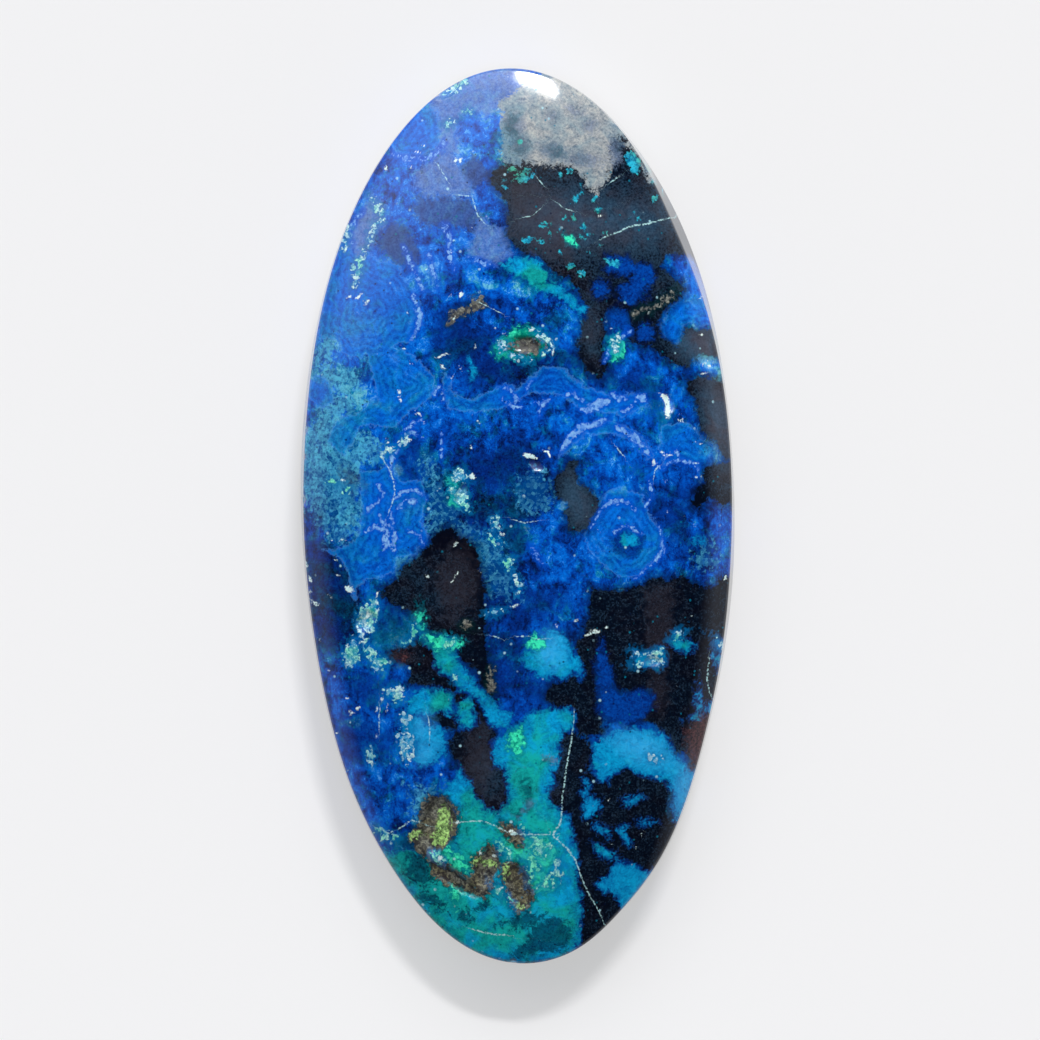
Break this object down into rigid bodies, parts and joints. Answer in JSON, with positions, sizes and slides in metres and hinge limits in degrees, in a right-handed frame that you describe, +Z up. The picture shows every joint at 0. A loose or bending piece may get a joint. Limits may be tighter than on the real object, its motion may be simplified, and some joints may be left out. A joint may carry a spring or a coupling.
{
  "type": "azurite cabochon",
  "caption": "Polished oval azurite cabochon with a low dome, a leaning wall and a flat back, marbled with turquoise chrysocolla and black tenorite.",
  "frame": {"origin": "on the flat back, under the middle of the bounding box", "axes": "+Z up out of the domed face, +Y along the stone's length towards its grey-capped end"},
  "size_m": [0.0223, 0.046, 0.0059],
  "materials": {
    "polished_stone": "opaque polished copper-mineral stone: azurite blue marbled with turquoise chrysocolla, malachite green and black tenorite"
  },
  "bodies": {
    "root": {"azurite_cabochon": "polished_stone"}
  },
  "joints": []
}
